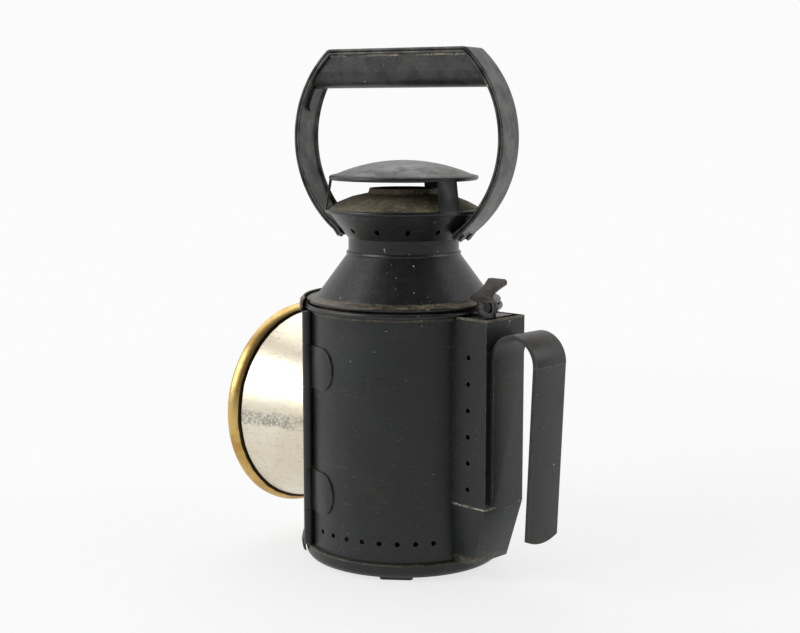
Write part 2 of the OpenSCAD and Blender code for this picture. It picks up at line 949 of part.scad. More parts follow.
module handle_strap() {
    corner = asin((loop_top - loop_z) / loop_r);
    color([0.12, 0.125, 0.13])
    with_top()
        difference() {
            union() {
                for (half = [0, 180])
                    rotate([0, 0, half]) {
                        intersection() {
                            translate([0, 0, loop_z])
                                rotate([90, 0, 0])
                                    rotate([0, 0, join_turn])
                                        rotate_extrude(angle = corner - join_turn + 3)
                                            strap_section(loop_r, 0);
                            translate([0, -50, 0])
                                cube([200, 100, loop_top - 0.2]);
                        }
                        translate([join_x, 0, join_z])
                            rotate([0, 180 + flare_turn, 0])
                                translate([0, 0, -0.4])
                                    linear_extrude(tail + 0.4)
                                        rotate([0, 0, 180])
                                            strap_section(0, step);
                    }
                intersection() {
                    translate([-loop_r, 0, loop_top])
                        rotate([0, 90, 0])
                            linear_extrude(2 * loop_r)
                                rotate([0, 0, 180])
                                    strap_section(0, 1.5 * step);
                    translate([0, 50, loop_z])
                        rotate([90, 0, 0])
                            cylinder(h = 100, r = loop_r - 0.2);
                }
            }
            rivet_axes()
                translate([0, 0, -4])
                    cylinder(h = 8, r = 1.3);
        }
}

module handle_rivets() {
    color([0.14, 0.14, 0.13])
    with_top()
        rivet_axes() {
            translate([0, 0, -strap_gap - 2])
                cylinder(h = strap_gap + 2.6, r = 1.3);
            translate([0, 0, -strap_gap - 2.4])
                cylinder(h = 1.1, r = 2.2);
            // distance collar between the flare and the strap
            translate([0, 0, 0.35 - strap_gap])
                cylinder(h = strap_gap - strap_t - 0.35, r = 2.2);
            cylinder(h = 1, r = 2.2);
        }
}

module grip_section(inset) {
    w = strap_w - 2 * wire_r - 1;
    r = w / 2;
    union() {
        translate([-r + inset, r - grip_drop])
            square([w - 2 * inset, grip_drop - r]);
        translate([0, r - grip_drop])
            circle(r = r - inset);
    }
}

// a round-ended tongue that holds the grip to the inside of the strap
module grip_tongue() {
    half = 4.5;
    top = asin((loop_top - 2 * wire_r - grip_drop - loop_z + 1) / (loop_r - strap_t));
    low = top - 9;
    thick = 2 * wire_r - strap_t + 0.6;
    translate([0, 0, loop_z])
        rotate([90, 0, 0])
            intersection() {
                rotate([0, 0, low - 6])
                    rotate_extrude(angle = top - low + 6)
                        translate([loop_r - strap_t - thick, -half])
                            square([thick, 2 * half]);
                rotate([0, 0, low])
                    rotate([0, 90, 0])
                        linear_extrude(100)
                            polygon([[-half - 1, 40], [-half - 1, 0.5], [-0.8 * half, -0.6 * half],
                                     [-0.35 * half, -0.95 * half], [0.35 * half, -0.95 * half],
                                     [0.8 * half, -0.6 * half], [half + 1, 0.5], [half + 1, 40]]);
            }
}

// the grip is a hollow trough closed by the strap above it
module handle_grip() {
    under = loop_top - 2 * wire_r;
    color([0.13, 0.135, 0.14])
    with_top()
        union() {
            intersection() {
                translate([-loop_r, 0, under])
                    rotate([90, 0, 90])
                        linear_extrude(2 * loop_r)
                            difference() {
                                grip_section(0);
                                grip_section(1);
                            }
                translate([0, 50, loop_z])
                    rotate([90, 0, 0])
                        cylinder(h = 100, r = loop_r - 2 * wire_r);
            }
            for (half = [0, 180])
                rotate([0, 0, half])
                    grip_tongue();
        }
}

module drum_frame() {
    low = lens_z - 40.6;
    color([0.3, 0.29, 0.26])
    difference() {
        rotate_extrude()
            polygon([[drum_r - 0.8, low], [drum_r, low], [drum_r, case_top - 3],
                     [drum_neck - 1.2, case_top - 3], [ledge_r + 2, case_top - 2.2],
                     [ledge_r + 2, case_top - 0.6], [drum_neck + 1, case_top - 0.6],
                     [drum_neck + 1, flange_low], [drum_neck, flange_low], [drum_neck, case_top - 1.8],
                     [drum_r - 0.8, case_top - 1.8]]);
        for (turn = [-90, 30, 150])
            sector(turn - window_half, turn + window_half, lens_z - 32.6, lens_z + 35.4, drum_r + 5);
    }
}

module drum_glass(turn) {
    swept(turn - window_half - 4, turn + window_half + 4)
        translate([drum_r - 2, lens_z - 36.6])
            square([1.2, 76]);
}

module red_glass() {
    color([0.7, 0.05, 0.05, 0.6])
    drum_glass(30);
}

module green_glass() {
    color([0.05, 0.45, 0.2, 0.6])
    drum_glass(150);
}

// ---- catch lever ----

module catch_lever() {
    arm = catch_y - nose_y;
    heel = bridge_top + spring_rise + 0.03 - catch_z;
    color([0.2, 0.18, 0.16])
    difference() {
        translate([-lever_w / 2, 0, 0])
            rotate([90, 0, 90])
                linear_extrude(lever_w)
                    union() {
                        translate([nose_y, catch_z])
                            polygon([[0, -2.5], [1.8, -2.5], [2.2, 2], [arm - 3.4, 2.6], [arm - 2.4, -2],
                                     [arm + 0.8, heel], [arm + 2.6, heel], [arm + 2.8, 2.4],
                                     [arm - 0.2, 5.2], [arm + 0.6, 7], [arm + 3.6, 9.4],
                                     [arm + 8.2, 12.4], [arm + 8.2, 16.2], [arm - 1.6, 16.2],
                                     [arm - 5.4, 11.2], [arm - 9.8, 7.9], [-3.3, 6.2], [-4.6, 4.4],
                                     [-4.6, 3], [0, 1.8]]);
                        // the rounded end of the thumb pad
                        translate([catch_y + 7.8, catch_z + 14.25])
                            circle(r = 1.9);
                        translate([catch_y, catch_z])
                            circle(r = 3.1);
                    }
        translate([-20, catch_y, catch_z])
            rotate([0, 90, 0])
                cylinder(h = 40, r = pivot_r + 0.05);
    }
}

case_wall();
base_pan();
feet();
top_ring();
hinge_leaves();
hinge_pin();
rear_box();
chute();
belt_hook();
catch_bridge();
catch_screw();
catch_spring();
button_pivot();
font_seat();
oil_font();
burner_body();
burner_dome();
wick_tube();
reflector();
reflector_bracket();
door_panel();
lens_hood();
brass_rim();
lens();
lens_ring();
door_pull();
shoulder_cone();
neck_band();
collar();
chimney();
cap();
cap_straps();
handle_strap();
handle_grip();
handle_rivets();
drum_frame();
red_glass();
green_glass();
catch_lever();
turn_button();
wick();
wick_winder();
filler_cap();
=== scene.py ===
import math

import bpy
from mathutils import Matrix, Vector


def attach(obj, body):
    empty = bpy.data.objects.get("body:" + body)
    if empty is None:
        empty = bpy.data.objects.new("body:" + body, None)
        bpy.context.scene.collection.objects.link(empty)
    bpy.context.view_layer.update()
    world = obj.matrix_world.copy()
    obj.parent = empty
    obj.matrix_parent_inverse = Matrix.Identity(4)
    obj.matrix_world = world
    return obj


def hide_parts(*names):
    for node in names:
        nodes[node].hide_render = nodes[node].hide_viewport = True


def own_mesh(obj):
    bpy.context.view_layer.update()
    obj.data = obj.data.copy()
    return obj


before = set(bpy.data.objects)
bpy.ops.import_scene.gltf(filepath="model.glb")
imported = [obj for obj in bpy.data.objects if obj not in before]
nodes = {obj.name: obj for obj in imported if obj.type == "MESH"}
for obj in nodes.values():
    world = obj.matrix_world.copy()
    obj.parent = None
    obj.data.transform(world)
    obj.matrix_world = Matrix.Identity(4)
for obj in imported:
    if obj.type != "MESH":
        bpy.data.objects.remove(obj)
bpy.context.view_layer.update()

mm = 0.001
lensZ = 80.6          # height of the lens axis
topTurn = 105.7       # the handle's plane, from X


# small helpers

def clearSelection():
    if bpy.context.object and bpy.context.object.mode != "OBJECT":
        bpy.ops.object.mode_set(mode="OBJECT")
    bpy.ops.object.select_all(action="DESELECT")


def pick(obj):
    clearSelection()
    obj.select_set(True)
    bpy.context.view_layer.objects.active = obj


def editAll(obj, kind="VERT"):
    pick(obj)
    bpy.ops.object.mode_set(mode="EDIT")
    bpy.ops.mesh.select_mode(type=kind)
    bpy.ops.mesh.select_all(action="SELECT")


def addModifier(obj, kind, **values):
    mod = obj.modifiers.new(kind.title(), kind)
    for key, value in values.items():
        setattr(mod, key, value)
    return mod


def applyModifiers(obj):
    pick(obj)
    for mod in list(obj.modifiers):
        bpy.ops.object.modifier_apply(modifier=mod.name)


def mergePoints(obj, distance=0.00002):
    editAll(obj)
    bpy.ops.mesh.remove_doubles(threshold=distance)
    bpy.ops.mesh.normals_make_consistent(inside=False)
    bpy.ops.object.mode_set(mode="OBJECT")


def finishPiece(obj, name, body, material, replaced=(), smooth=35):
    pick(obj)
    bpy.ops.object.transform_apply(location=True, rotation=True, scale=True)
    bpy.ops.object.shade_smooth_by_angle(angle=math.radians(smooth))
    obj.name = name
    obj.data.name = name
    obj.data.materials.clear()
    obj.data.materials.append(material)
    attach(obj, body)
    if replaced:
        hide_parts(*replaced)
    return obj


def drawOutline(name, points):
    # one vertex, then each point extruded from the last; sizes in millimetres
    clearSelection()
    bpy.ops.mesh.primitive_plane_add(size=0.001, location=[c * mm for c in points[0]])
    obj = bpy.context.object
    obj.name = name
    bpy.ops.object.transform_apply(location=True, rotation=True, scale=True)
    editAll(obj)
    bpy.ops.mesh.merge(type="CENTER")
    for last, point in zip(points, points[1:]):
        move = [(b - a) * mm for a, b in zip(last, point)]
        bpy.ops.mesh.extrude_vertices_move(TRANSFORM_OT_translate={"value": move})
    bpy.ops.mesh.select_all(action="SELECT")
    return obj


def closeOutline():
    # the last point lies on the first
    bpy.ops.mesh.remove_doubles(threshold=0.000001)
    bpy.ops.mesh.select_all(action="SELECT")


def arcPoints(middle, radius, start, end, steps):
    # points on an arc, as pairs
    pairs = []
    for i in range(steps + 1):
        turn = math.radians(start + (end - start) * i / steps)
        pairs.append((middle[0] + radius * math.cos(turn), middle[1] + radius * math.sin(turn)))
    return pairs


def pushSection(x, y, z):
    bpy.ops.mesh.extrude_region_move(TRANSFORM_OT_translate={"value": (x * mm, y * mm, z * mm)})


def spinSection(angle, steps, centre, axis):
    # the operator turns the other way round from the usual sense
    bpy.ops.mesh.spin(steps=steps, angle=-math.radians(angle), center=[c * mm for c in centre],
                      axis=axis)


def lathe(name, points, steps, centre, axis):
    # turns a closed outline into a ring
    obj = drawOutline(name, points + [points[0]])
    closeOutline()
    spinSection(360, steps, centre, axis)
    bpy.ops.object.mode_set(mode="OBJECT")
    mergePoints(obj)
    return obj


# node groups

def newGroup(name, inputs, output):
    group = bpy.data.node_groups.new(name, "ShaderNodeTree")
    for label, kind, value in inputs:
        socket = group.interface.new_socket(name=label, in_out="INPUT", socket_type=kind)
        socket.default_value = value
    group.interface.new_socket(name=output, in_out="OUTPUT", socket_type="NodeSocketFloat")
    inn = group.nodes.new("NodeGroupInput")
    out = group.nodes.new("NodeGroupOutput")
    return group, inn, out


def mathNode(tree, operation, a, b=None, clamp=False):
    node = tree.nodes.new("ShaderNodeMath")
    node.operation = operation
    node.use_clamp = clamp
    for socket, value in zip(node.inputs, (a, b)):
        if value is None:
            continue
        if isinstance(value, (int, float)):
            socket.default_value = value
        else:
            tree.links.new(value, socket)
    return node.outputs[0]


def rangeNode(tree, value, low, high, toLow=0.0, toHigh=1.0, smooth=True):
    node = tree.nodes.new("ShaderNodeMapRange")
    node.interpolation_type = "SMOOTHSTEP" if smooth else "LINEAR"
    tree.links.new(value, node.inputs["Value"])
    for label, item in (("From Min", low), ("From Max", high), ("To Min", toLow), ("To Max", toHigh)):
        if isinstance(item, (int, float)):
            node.inputs[label].default_value = item
        else:
            tree.links.new(item, node.inputs[label])
    return node.outputs[0]


def objectPoint(tree, stretch=None):
    coord = tree.nodes.new("ShaderNodeTexCoord").outputs["Object"]
    if stretch is None:
        return coord
    mapping = tree.nodes.new("ShaderNodeMapping")
    mapping.inputs["Scale"].default_value = stretch
    tree.links.new(coord, mapping.inputs["Vector"])
    return mapping.outputs[0]


def noiseNode(tree, point, scale, detail=5.0, rough=0.55):
    node = tree.nodes.new("ShaderNodeTexNoise")
    tree.links.new(point, node.inputs["Vector"])
    node.inputs["Detail"].default_value = detail
    node.inputs["Roughness"].default_value = rough
    if isinstance(scale, (int, float)):
        node.inputs["Scale"].default_value = scale
    else:
        tree.links.new(scale, node.inputs["Scale"])
    return node.outputs["Fac"]


def makePatches():
    # soft uneven areas: dust, soot, stains
    group, inn, out = newGroup("patches", [("Scale", "NodeSocketFloat", 60.0),
                                           ("Low", "NodeSocketFloat", 0.5),
                                           ("High", "NodeSocketFloat", 0.7)], "Mask")
    noise = noiseNode(group, objectPoint(group), inn.outputs["Scale"], 7.0, 0.62)
    mask = rangeNode(group, noise, inn.outputs["Low"], inn.outputs["High"])
    group.links.new(mask, out.inputs["Mask"])
    return group


def makeChips():
    # small ragged flecks of missing paint, in loose clusters
    group, inn, out = newGroup("chips", [("Scale", "NodeSocketFloat", 500.0),
                                         ("Low", "NodeSocketFloat", 0.68),
                                         ("Cluster", "NodeSocketFloat", 0.55)], "Mask")
    point = objectPoint(group)
    fine = noiseNode(group, point, inn.outputs["Scale"], 4.0, 0.6)
    flecks = rangeNode(group, fine, inn.outputs["Low"], mathNode(group, "ADD", inn.outputs["Low"], 0.02))
    wide = noiseNode(group, point, 42.0, 3.0, 0.6)
    full = mathNode(group, "ADD", inn.outputs["Cluster"], 0.06)
    places = rangeNode(group, wide, inn.outputs["Cluster"], full)
    group.links.new(mathNode(group, "MULTIPLY", flecks, places), out.inputs["Mask"])
    return group


def makeEdgeWear():
    # bright where the surface turns sharply, broken up by noise
    group, inn, out = newGroup("edgeWear", [("Radius", "NodeSocketFloat", 0.0006),
                                            ("Strength", "NodeSocketFloat", 6.0),
                                            ("Scale", "NodeSocketFloat", 300.0)], "Mask")
    bevel = group.nodes.new("ShaderNodeBevel")
    bevel.samples = 4
    group.links.new(inn.outputs["Radius"], bevel.inputs["Radius"])
    geo = group.nodes.new("ShaderNodeNewGeometry")
    dot = group.nodes.new("ShaderNodeVectorMath")
    dot.operation = "DOT_PRODUCT"
    group.links.new(bevel.outputs[0], dot.inputs[0])
    group.links.new(geo.outputs["Normal"], dot.inputs[1])
    turn = mathNode(group, "SUBTRACT", 1.0, dot.outputs["Value"], True)
    turn = mathNode(group, "MULTIPLY", turn, inn.outputs["Strength"])
    noise = rangeNode(group, noiseNode(group, objectPoint(group), inn.outputs["Scale"], 6.0, 0.7),
                      0.42, 0.62)
    mask = mathNode(group, "MULTIPLY", turn, noise, True)
    group.links.new(mask, out.inputs["Mask"])
    return group


def makeUpward():
    # dust lies on what faces the sky
    group, inn, out = newGroup("upward", [("Start", "NodeSocketFloat", 0.3),
                                          ("Full", "NodeSocketFloat", 0.95)], "Mask")
    geo = group.nodes.new("ShaderNodeNewGeometry")
    split = group.nodes.new("ShaderNodeSeparateXYZ")
    group.links.new(geo.outputs["Normal"], split.inputs[0])
    mask = rangeNode(group, split.outputs["Z"], inn.outputs["Start"], inn.outputs["Full"])
    group.links.new(mask, out.inputs["Mask"])
    return group


def makeBand(name, kind):
    # a band between two values of height, depth or radius, with a ragged edge
    group, inn, out = newGroup(name, [("Low", "NodeSocketFloat", 0.1),
                                      ("High", "NodeSocketFloat", 0.11),
                                      ("Soft", "NodeSocketFloat", 0.002)], "Mask")
    point = objectPoint(group)
    split = group.nodes.new("ShaderNodeSeparateXYZ")
    group.links.new(point, split.inputs[0])
    if kind == "radius":
        squares = [mathNode(group, "MULTIPLY", split.outputs[i], split.outputs[i]) for i in (0, 1)]
        value = mathNode(group, "SQRT", mathNode(group, "ADD", *squares))
    else:
        value = split.outputs["Z" if kind == "height" else "Y"]
    wobble = mathNode(group, "MULTIPLY", mathNode(group, "SUBTRACT", noiseNode(group, point, 120.0), 0.5),
                      mathNode(group, "MULTIPLY", inn.outputs["Soft"], 3.0))
    value = mathNode(group, "ADD", value, wobble)
    lowSoft = mathNode(group, "SUBTRACT", inn.outputs["Low"], inn.outputs["Soft"])
    highSoft = mathNode(group, "ADD", inn.outputs["High"], inn.outputs["Soft"])
    rise = rangeNode(group, value, lowSoft, inn.outputs["Low"])
    fall = rangeNode(group, value, inn.outputs["High"], highSoft, 1.0, 0.0)
    group.links.new(mathNode(group, "MULTIPLY", rise, fall), out.inputs["Mask"])
    return group


def makeScratches():
    # fine hairlines; the stretch runs them one way
    group, inn, out = newGroup("scratches", [("Scale", "NodeSocketFloat", 1.0),
                                             ("Low", "NodeSocketFloat", 0.55),
                                             ("High", "NodeSocketFloat", 0.7)], "Mask")
    total = None
    for stretch in ((90, 900, 1400), (700, 120, 1900)):
        noise = noiseNode(group, objectPoint(group, stretch), inn.outputs["Scale"], 3.0, 0.6)
        mask = rangeNode(group, noise, inn.outputs["Low"], inn.outputs["High"])
        total = mask if total is None else mathNode(group, "MAXIMUM", total, mask)
    group.links.new(total, out.inputs["Mask"])
    return group


patches = makePatches()
chips = makeChips()
edgeWear = makeEdgeWear()
upward = makeUpward()
band = makeBand("band", "height")
depthBand = makeBand("depthBand", "depth")
radiusBand = makeBand("radiusBand", "radius")
scratches = makeScratches()


class Finish:
    # one material and its tree, with layers laid one over the other
    def __init__(self, name, color, rough, metallic=0.0, specular=0.5):
        self.material = bpy.data.materials.new(name)
        self.material.use_nodes = True
        self.tree = self.material.node_tree
        self.shader = self.tree.nodes["Principled BSDF"]
        self.shader.inputs["Metallic"].default_value = metallic
        self.shader.inputs["Specular IOR Level"].default_value = specular
        self.color = self.constantColor(color)
        self.rough = self.constantValue(rough)
        self.metal = None
        self.baseMetal = metallic
        self.height = None

    def constantColor(self, color):
        node = self.tree.nodes.new("ShaderNodeRGB")
        node.outputs[0].default_value = (*color, 1)
        return node.outputs[0]

    def constantValue(self, value):
        node = self.tree.nodes.new("ShaderNodeValue")
        node.outputs[0].default_value = value
        return node.outputs[0]

    def group(self, which, **values):
        node = self.tree.nodes.new("ShaderNodeGroup")
        node.node_tree = which
        for key, value in values.items():
            node.inputs[key].default_value = value
        return node.outputs[0]

    def bandMask(self, kind, low, high, soft):
        # limits in millimetres
        return self.group(kind, Low=low * mm, High=high * mm, Soft=soft * mm)

    def times(self, a, b):
        return mathNode(self.tree, "MULTIPLY", a, b)

    def mixColor(self, mask, color):
        node = self.tree.nodes.new("ShaderNodeMix")
        node.data_type = "RGBA"
        self.tree.links.new(mask, node.inputs["Factor"])
        self.tree.links.new(self.color, node.inputs[6])
        node.inputs[7].default_value = (*color, 1)
        self.color = node.outputs[2]

    def mixRough(self, mask, rough):
        node = self.tree.nodes.new("ShaderNodeMix")
        self.tree.links.new(mask, node.inputs["Factor"])
        self.tree.links.new(self.rough, node.inputs[2])
        node.inputs[3].default_value = rough
        self.rough = node.outputs[0]

    def mixMetal(self, mask, metal):
        node = self.tree.nodes.new("ShaderNodeMix")
        self.tree.links.new(mask, node.inputs["Factor"])
        if self.metal is None:
            node.inputs[2].default_value = self.baseMetal
        else:
            self.tree.links.new(self.metal, node.inputs[2])
        node.inputs[3].default_value = metal
        self.metal = node.outputs[0]

    def layer(self, mask, color, rough=None, metal=None, amount=1.0):
        if amount != 1.0:
            mask = self.times(mask, amount)
        self.mixColor(mask, color)
        if rough is not None:
            self.mixRough(mask, rough)
        if metal is not None:
            self.mixMetal(mask, metal)

    def relief(self, value, amount):
        part = self.times(value, amount)
        self.height = part if self.height is None else mathNode(self.tree, "ADD", self.height, part)

    def done(self, distance=0.001, strength=0.5):
        self.tree.links.new(self.color, self.shader.inputs["Base Color"])
        self.tree.links.new(self.rough, self.shader.inputs["Roughness"])
        if self.metal is not None:
            self.tree.links.new(self.metal, self.shader.inputs["Metallic"])
        if self.height is not None:
            bump = self.tree.nodes.new("ShaderNodeBump")
            bump.inputs["Distance"].default_value = distance
            bump.inputs["Strength"].default_value = strength
            self.tree.links.new(self.height, bump.inputs["Height"])
            self.tree.links.new(bump.outputs[0], self.shader.inputs["Normal"])
        return self.material


# finishes

paintValues = {
    "black": (0.0062, 0.0066, 0.0068),
    "olive": (0.0105, 0.0105, 0.0075),
    "pale": (0.0125, 0.0140, 0.0150),
    "brown": (0.017, 0.0155, 0.0115),
    "film": (0.034, 0.031, 0.025),
    "hairline": (0.075, 0.07, 0.06),
    # rubbed grey: worn metal, lightened so it also serves as painted sheen on the handle strap
    "rubbedAndSheen": (0.135, 0.135, 0.125),
    "dust": (0.15, 0.13, 0.095),
    "cream": (0.50, 0.45, 0.34),
    "tan": (0.22, 0.185, 0.12),
    "bare": (0.13, 0.12, 0.10),
    "chip": (0.62, 0.57, 0.45),
}


def blackPaint(name, rough=0.36, color="black", wear=0.5, chipPlaces=0.60, dustUp=0.25, bands=(),
               rubbedAndSheen=0.0, grime=0.35):
    look = Finish(name, paintValues[color], rough, specular=0.42)
    # the paint isn't one black: paler bluish and browner areas
    look.layer(look.group(patches, Scale=20.0, Low=0.36, High=0.72), paintValues["pale"], rough + 0.07)
    look.layer(look.group(patches, Scale=70.0, Low=0.50, High=0.8), paintValues["brown"], rough + 0.13)
    look.layer(look.group(patches, Scale=520.0, Low=0.56, High=0.74), paintValues["film"],
               rough + 0.2, amount=grime)
    look.layer(look.group(scratches, Scale=0.35, Low=0.64, High=0.72), paintValues["hairline"],
               rough + 0.05, amount=0.35)
    if rubbedAndSheen:
        # metal showing through where hands and tables rub, its grey raised to also stand in for light on
        # the strap's lit side: part wear, part painted sheen
        bare = look.group(patches, Scale=95.0, Low=0.34, High=0.66)
        look.layer(bare, paintValues["rubbedAndSheen"], 0.42, 0.35, amount=rubbedAndSheen)
    up = look.group(upward, Start=0.25, Full=0.97)
    dusty = look.times(up, look.group(patches, Scale=130.0, Low=0.35, High=0.75))
    look.layer(dusty, paintValues["dust"], 0.8, amount=dustUp)
    for kind, low, high, soft, strength, tone in bands:
        mask = look.bandMask(kind, low, high, soft)
        mask = look.times(mask, look.group(patches, Scale=85.0, Low=0.30, High=0.66))
        mask = look.times(mask, look.group(patches, Scale=760.0, Low=0.34, High=0.56))
        look.layer(mask, paintValues[tone], 0.85, amount=strength)
    look.layer(look.group(edgeWear, Radius=0.0007, Strength=5.0, Scale=230.0), paintValues["bare"],
               0.40, 0.4, amount=wear)
    flecks = look.group(chips, Scale=430.0, Low=0.68, Cluster=chipPlaces)
    look.layer(flecks, paintValues["chip"], 0.7)
    look.relief(look.group(patches, Scale=900.0, Low=0.3, High=0.8), 0.05)
    look.relief(look.group(patches, Scale=55.0, Low=0.2, High=0.9), 0.30)
    look.relief(flecks, -0.12)
    return look.done(0.0012, 0.5)


tinValues = {
    "warm": (0.72, 0.655, 0.52),
    "bright": (0.78, 0.73, 0.61),
    "tarnish": (0.60, 0.52, 0.38),
    "hairline": (0.40, 0.36, 0.28),
    "specks": (0.20, 0.16, 0.11),
    "streak": (0.30, 0.29, 0.26),
    "rimLine": (0.02, 0.017, 0.013),
    "footLine": (0.03, 0.028, 0.025),
    # low, high and soft edge of each mark, in millimetres
    "streakSpan": (77.5, 83.5, 2.2),
    "rimSpan": (-81.2, -79.7, 0.4),
    "footSpan": (56.0, 58.0, 0.4),
}


def tinnedSheet(name, stained=False):
    tin = tinValues
    look = Finish(name, tin["warm"], 0.42, 1.0)
    look.layer(look.group(patches, Scale=28.0, Low=0.4, High=0.7), tin["bright"], 0.36)
    look.layer(look.group(patches, Scale=140.0, Low=0.56, High=0.76), tin["tarnish"], 0.5, amount=0.6)
    lines = look.group(scratches, Scale=0.5, Low=0.58, High=0.68)
    look.layer(lines, tin["hairline"], 0.45, amount=0.4)
    look.layer(look.group(patches, Scale=900.0, Low=0.64, High=0.70), tin["specks"], 0.6, amount=0.7)
    if stained:
        # a grey streak along the hood's side, and dark lines at its two ends
        streak = look.bandMask(band, *tin["streakSpan"])
        streak = look.times(streak, look.group(patches, Scale=60.0, Low=0.30, High=0.55))
        streak = look.times(streak, look.group(patches, Scale=620.0, Low=0.36, High=0.58))
        look.layer(streak, tin["streak"], 0.5, amount=0.9)
        look.layer(look.bandMask(depthBand, *tin["rimSpan"]), tin["rimLine"], 0.7)
        look.layer(look.bandMask(radiusBand, *tin["footSpan"]), tin["footLine"], 0.6)
    look.relief(look.group(patches, Scale=45.0, Low=0.2, High=0.9), 0.5)
    look.relief(lines, -0.03)
    return look.done(0.0010, 0.35)


brassValues = {
    "yellow": (0.62, 0.43, 0.15),
    "brown": (0.46, 0.26, 0.07),
    "spots": (0.20, 0.115, 0.05),
    "hairline": (0.62, 0.48, 0.25),
    "seam": (0.05, 0.035, 0.02),
    "seamSpan": (-80.8, -79.6, 0.3),
}


def agedBrass(name):
    brass = brassValues
    look = Finish(name, brass["yellow"], 0.36, 1.0)
    look.layer(look.group(patches, Scale=45.0, Low=0.42, High=0.7), brass["brown"], 0.44)
    look.layer(look.group(patches, Scale=200.0, Low=0.55, High=0.75), brass["spots"], 0.5, amount=0.7)
    look.layer(look.group(scratches, Scale=0.6, Low=0.6, High=0.7), brass["hairline"], 0.3, amount=0.4)
    look.layer(look.bandMask(depthBand, *brass["seamSpan"]), brass["seam"], 0.6)
    look.relief(look.group(patches, Scale=300.0, Low=0.3, High=0.8), 0.12)
    return look.done(0.0008, 0.4)


steelValues = {
    "dull": (0.36, 0.35, 0.33),
    "spring": (0.55, 0.53, 0.48),
    "stain": (0.20, 0.16, 0.12),
    "hairline": (0.55, 0.53, 0.5),
}


def dullSteel(name, color="dull", rough=0.42):
    steel = steelValues
    look = Finish(name, steel[color], rough, 0.9)
    look.layer(look.group(patches, Scale=220.0, Low=0.45, High=0.7), steel["stain"], rough + 0.15,
               amount=0.7)
    look.layer(look.group(scratches, Scale=0.8, Low=0.58, High=0.7), steel["hairline"], 0.3, amount=0.4)
    look.relief(look.group(patches, Scale=800.0, Low=0.3, High=0.8), 0.1)
    return look.done(0.0006, 0.4)


rustValues = {
    "iron": (0.028, 0.024, 0.021),
    "stain": (0.06, 0.045, 0.035),
    "rust": (0.21, 0.105, 0.050),
    "edge": (0.30, 0.21, 0.15),
}


def rustySteel(name):
    look = Finish(name, rustValues["iron"], 0.45)
    look.layer(look.group(patches, Scale=160.0, Low=0.42, High=0.7), rustValues["stain"], 0.5)
    # the thumb pad's upper face has rusted
    rust = look.group(upward, Start=0.5, Full=0.9)
    rust = look.times(rust, look.group(patches, Scale=330.0, Low=0.25, High=0.50))
    look.layer(rust, rustValues["rust"], 0.75)
    look.layer(look.group(edgeWear, Radius=0.0006, Strength=5.0, Scale=320.0), rustValues["edge"], 0.45,
               amount=0.7)
    look.relief(look.group(patches, Scale=700.0, Low=0.3, High=0.75), 0.25)
    return look.done(0.0008, 0.5)


sootValues = {
    "under": (0.030, 0.027, 0.019),
    "soot": (0.15, 0.125, 0.078),
    "dust": (0.27, 0.23, 0.155),
    "flakes": (0.30, 0.27, 0.2),
}


def sootyPaint(name):
    look = Finish(name, sootValues["under"], 0.62)
    look.layer(look.group(patches, Scale=40.0, Low=0.3, High=0.6), sootValues["soot"], 0.8)
    look.layer(look.group(patches, Scale=330.0, Low=0.46, High=0.68), sootValues["dust"], 0.9, amount=0.6)
    look.layer(look.group(chips, Scale=420.0, Low=0.62, Cluster=0.45), sootValues["flakes"], 0.8,
               amount=0.8)
    look.relief(look.group(patches, Scale=420.0, Low=0.3, High=0.75), 0.35)
    return look.done(0.001, 0.6)


def patchNode(tree, scale, low=0.5, high=0.7):
    node = tree.nodes.new("ShaderNodeGroup")
    node.node_tree = patches
    for label, value in (("Scale", scale), ("Low", low), ("High", high)):
        node.inputs[label].default_value = value
    return node.outputs[0]


def tintedGlass(name, color, rough=0.03):
    material = bpy.data.materials.new(name)
    material.use_nodes = True
    tree = material.node_tree
    shader = tree.nodes["Principled BSDF"]
    shader.inputs["Base Color"].default_value = (*color, 1)
    shader.inputs["Transmission Weight"].default_value = 1.0
    shader.inputs["IOR"].default_value = 1.5
    # smeared in places, and a little wavy
    smear = patchNode(tree, 40.0)
    tree.links.new(rangeNode(tree, smear, 0.0, 1.0, rough, rough + 0.12), shader.inputs["Roughness"])
    bump = tree.nodes.new("ShaderNodeBump")
    bump.inputs["Distance"].default_value = 0.0004
    bump.inputs["Strength"].default_value = 0.3
    tree.links.new(patchNode(tree, 25.0, 0.2, 0.9), bump.inputs["Height"])
    tree.links.new(bump.outputs[0], shader.inputs["Normal"])
    return material


wickValues = {
    "cotton": (0.62, 0.55, 0.42),
    "thread": (0.75, 0.69, 0.55),
    "burnt": (0.02, 0.018, 0.015),
    "burntSpan": (70.0, 95.0, 2.0),
    "weaveScale": 900.0,
}


def wickCotton(name):
    look = Finish(name, wickValues["cotton"], 0.9)
    weave = look.tree.nodes.new("ShaderNodeTexWave")
    look.tree.links.new(objectPoint(look.tree), weave.inputs["Vector"])
    weave.inputs["Scale"].default_value = wickValues["weaveScale"]
    weave.inputs["Distortion"].default_value = 1.5
    look.layer(weave.outputs["Fac"], wickValues["thread"], 0.95, amount=0.6)
    look.layer(look.bandMask(band, *wickValues["burntSpan"]), wickValues["burnt"], 0.95)
    look.relief(weave.outputs["Fac"], 0.4)
    return look.done(0.0005, 0.6)


